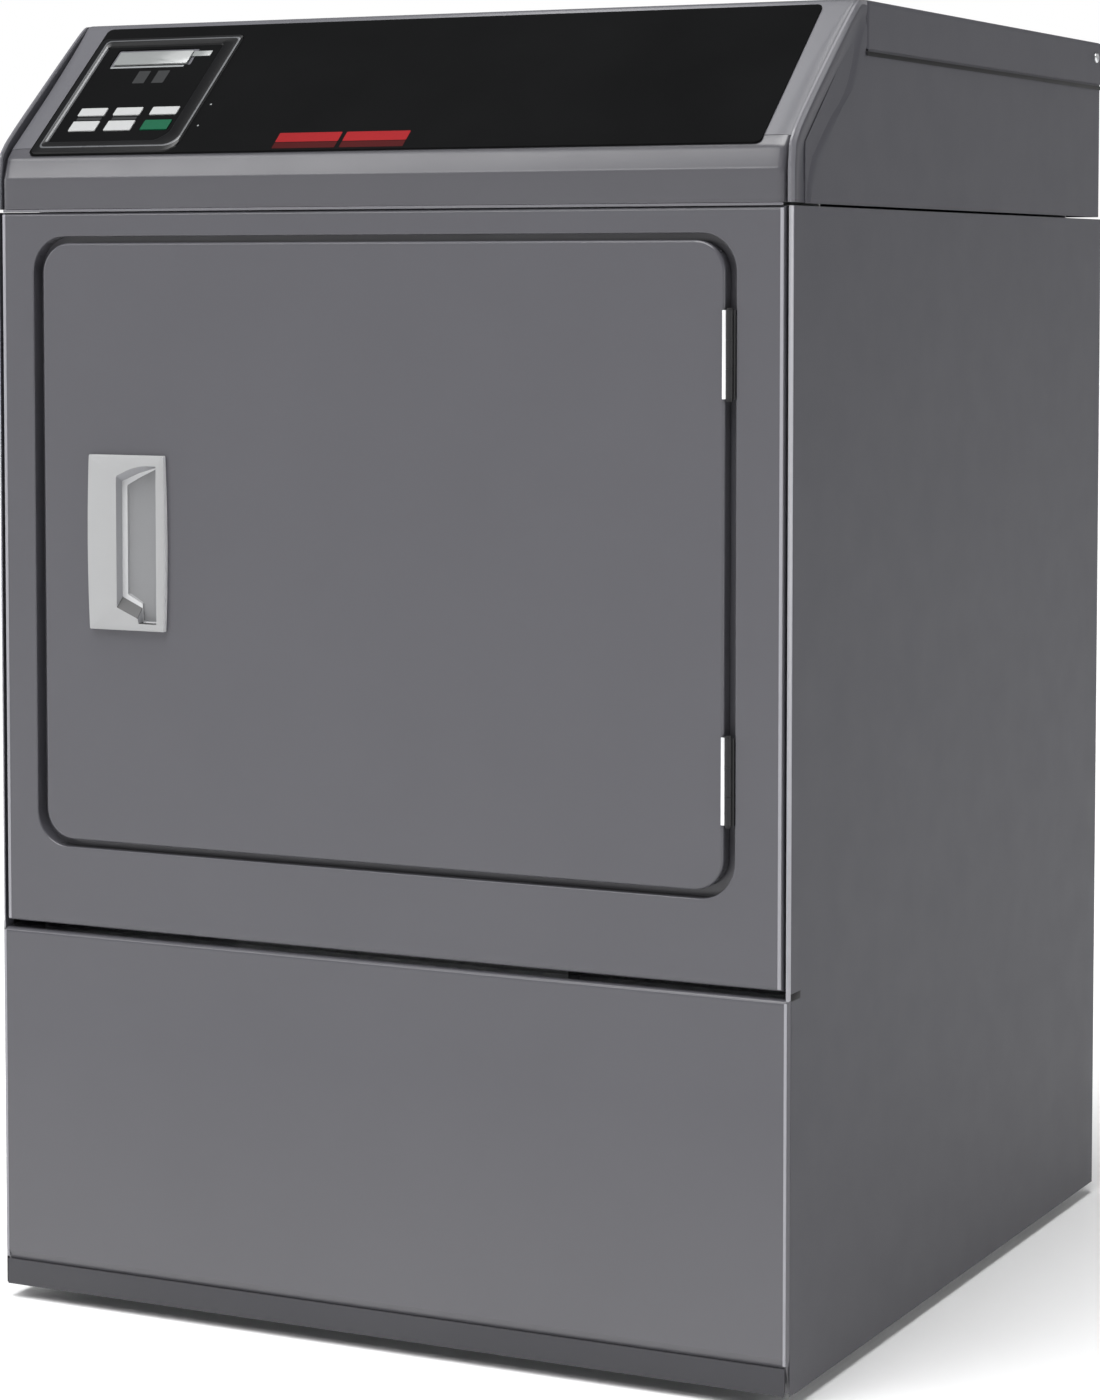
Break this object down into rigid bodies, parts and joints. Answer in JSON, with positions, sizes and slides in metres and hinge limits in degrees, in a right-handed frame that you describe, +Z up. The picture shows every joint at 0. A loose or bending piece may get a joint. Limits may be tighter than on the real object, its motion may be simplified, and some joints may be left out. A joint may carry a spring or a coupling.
{
  "type": "clothes dryer",
  "caption": "Front-loading tumble dryer: boxy cabinet, hinged solid door with recessed pull, sloped control fascia with keypad, lower access panel, drum, belt drive and rear exhaust collar.",
  "frame": {"origin": "on the floor, under the centre of the overall box", "axes": "+X to the viewer's right seen from the front, +Y towards the rear, +Z up"},
  "size_m": [0.6874, 0.764, 1.028],
  "materials": {
    "graphite_paint": "satin",
    "side_paint": "satin",
    "lid_paint": "satin",
    "inner_steel": "galvanised",
    "stainless": "brushed",
    "fascia_plastic": "satin",
    "overlay_black": "gloss",
    "bezel_plastic": "satin",
    "display": "gloss",
    "key_white": "satin",
    "key_green": "satin",
    "board": "matte",
    "handle_plastic": "satin",
    "seal_rubber": "matte",
    "felt": "matte",
    "baffle_plastic": "satin",
    "moulding_grey": "matte",
    "filter_plastic": "matte",
    "duct_aluminium": "satin",
    "motor_aluminium": "cast",
    "belt_rubber": "matte",
    "coil_steel": "heat tinted",
    "foot_rubber": "matte",
    "screw_steel": "zinc"
  },
  "bodies": {
    "cabinet": {"base_pan": "inner_steel", "left_side_panel": "side_paint", "right_side_panel": "side_paint", "rear_panel": "inner_steel", "front_panel": "graphite_paint", "lower_access_panel": "graphite_paint", "hood_shell": "side_paint", "top_cover": "lid_paint", "case_screws": "screw_steel", "control_fascia": "fascia_plastic", "fascia_lower_trim": "fascia_plastic", "control_overlay": "overlay_black", "keypad_bezel": "bezel_plastic", "display_window": "display", "control_board": "board", "door_catch": "moulding_grey", "hinge_frame_leaves": "stainless", "hinge_pins": "stainless", "door_switch_body": "moulding_grey", "front_bulkhead": "inner_steel", "rear_bulkhead": "inner_steel", "drum_seals": "felt", "roller_shafts": "screw_steel", "drive_belt": "belt_rubber", "motor_frame": "motor_aluminium", "blower_housing": "moulding_grey", "lint_duct": "inner_steel", "exhaust_duct": "duct_aluminium", "idler_spring": "screw_steel", "heater_housing": "inner_steel", "heater_coils": "coil_steel", "terminal_cover": "inner_steel"},
    "door": {"door_outer_panel": "graphite_paint", "door_liner": "inner_steel", "door_seal": "seal_rubber", "door_handle": "handle_plastic", "door_strike": "inner_steel", "hinge_door_leaves": "stainless"},
    "drum": {"drum_shell": "stainless", "drum_front_head": "stainless", "drum_baffles": "baffle_plastic"},
    "rotor": {"motor_shaft": "screw_steel", "motor_pulley": "inner_steel", "blower_wheel": "moulding_grey"},
    "roller_1": {"support_roller_1": "moulding_grey"},
    "roller_2": {"support_roller_2": "moulding_grey"},
    "tension_arm": {"idler_arm": "inner_steel"},
    "tension_pulley": {"idler_pulley": "moulding_grey"},
    "filter": {"lint_filter": "filter_plastic"},
    "switch_plunger": {"door_switch_plunger": "key_white"},
    "start_button": {"start_key": "key_green"},
    "program_button_1": {"program_key_1": "key_white"},
    "program_button_2": {"program_key_2": "key_white"},
    "program_button_3": {"program_key_3": "key_white"},
    "program_button_4": {"program_key_4": "key_white"},
    "program_button_5": {"program_key_5": "key_white"},
    "foot_1": {"levelling_foot_1": "foot_rubber"},
    "foot_2": {"levelling_foot_2": "foot_rubber"},
    "foot_3": {"levelling_foot_3": "foot_rubber"},
    "foot_4": {"levelling_foot_4": "foot_rubber"}
  },
  "joints": [
    {"name": "door_hinge", "type": "hinge", "parent": "cabinet", "child": "door", "pos_m": [0.2935, -0.375, 0.612], "axis": [0, 0, 1], "range_deg": [0, 170]},
    {"name": "drum_spin", "type": "hinge", "parent": "cabinet", "child": "drum", "pos_m": [0, 0, 0.612], "axis": [0, 1, 0], "continuous": true},
    {"name": "motor_spin", "type": "hinge", "parent": "cabinet", "child": "rotor", "pos_m": [0.06, -0.2, 0.14], "axis": [0, 1, 0], "continuous": true},
    {"name": "roller_1_spin", "type": "hinge", "parent": "cabinet", "child": "roller_1", "pos_m": [-0.19811, 0.219, 0.32906], "axis": [0, 1, 0], "continuous": true},
    {"name": "roller_2_spin", "type": "hinge", "parent": "cabinet", "child": "roller_2", "pos_m": [0.19811, 0.219, 0.32906], "axis": [0, 1, 0], "continuous": true},
    {"name": "tension_arm_swing", "type": "hinge", "parent": "cabinet", "child": "tension_arm", "pos_m": [0, -0.086, 0.08], "axis": [0, -1, 0], "range_deg": [0, 10], "stiffness_Nm_per_rad": 2, "springref_deg": -5.73, "deforming": ["idler_spring"]},
    {"name": "tension_pulley_spin", "type": "hinge", "parent": "tension_arm", "child": "tension_pulley", "pos_m": [-0.008, -0.07, 0.166], "axis": [0, 1, 0], "continuous": true},
    {"name": "lint_filter_lift", "type": "slide", "parent": "cabinet", "child": "filter", "axis": [0, 0, 1], "range_m": [0, 0.2]},
    {"name": "door_switch_press", "type": "slide", "parent": "cabinet", "child": "switch_plunger", "axis": [0, 1, 0], "range_m": [0, 0.002], "stiffness_N_per_m": 300, "springref_m": -0.001},
    {"name": "start_key_press", "type": "slide", "parent": "cabinet", "child": "start_button", "axis": [0, 0.6626, -0.749], "range_m": [0, 0.0008], "stiffness_N_per_m": 400, "springref_m": -0.001},
    {"name": "program_key_1_press", "type": "slide", "parent": "cabinet", "child": "program_button_1", "axis": [0, 0.6626, -0.749], "range_m": [0, 0.0008], "stiffness_N_per_m": 400, "springref_m": -0.001},
    {"name": "program_key_2_press", "type": "slide", "parent": "cabinet", "child": "program_button_2", "axis": [0, 0.6626, -0.749], "range_m": [0, 0.0008], "stiffness_N_per_m": 400, "springref_m": -0.001},
    {"name": "program_key_3_press", "type": "slide", "parent": "cabinet", "child": "program_button_3", "axis": [0, 0.6626, -0.749], "range_m": [0, 0.0008], "stiffness_N_per_m": 400, "springref_m": -0.001},
    {"name": "program_key_4_press", "type": "slide", "parent": "cabinet", "child": "program_button_4", "axis": [0, 0.6626, -0.749], "range_m": [0, 0.0008], "stiffness_N_per_m": 400, "springref_m": -0.001},
    {"name": "program_key_5_press", "type": "slide", "parent": "cabinet", "child": "program_button_5", "axis": [0, 0.6626, -0.749], "range_m": [0, 0.0008], "stiffness_N_per_m": 400, "springref_m": -0.001},
    {"name": "foot_1_extend", "type": "slide", "parent": "cabinet", "child": "foot_1", "axis": [0, 0, -1], "range_m": [0, 0.02]},
    {"name": "foot_2_extend", "type": "slide", "parent": "cabinet", "child": "foot_2", "axis": [0, 0, -1], "range_m": [0, 0.02]},
    {"name": "foot_3_extend", "type": "slide", "parent": "cabinet", "child": "foot_3", "axis": [0, 0, -1], "range_m": [0, 0.02]},
    {"name": "foot_4_extend", "type": "slide", "parent": "cabinet", "child": "foot_4", "axis": [0, 0, -1], "range_m": [0, 0.02]}
  ],
  "couplings": [
    {"joint": "motor_spin", "follows": "drum_spin", "ratio": 28.182},
    {"joint": "roller_1_spin", "follows": "drum_spin", "ratio": -8.8571},
    {"joint": "roller_2_spin", "follows": "drum_spin", "ratio": -8.8571},
    {"joint": "tension_pulley_spin", "follows": "drum_spin", "ratio": -17.222}
  ]
}
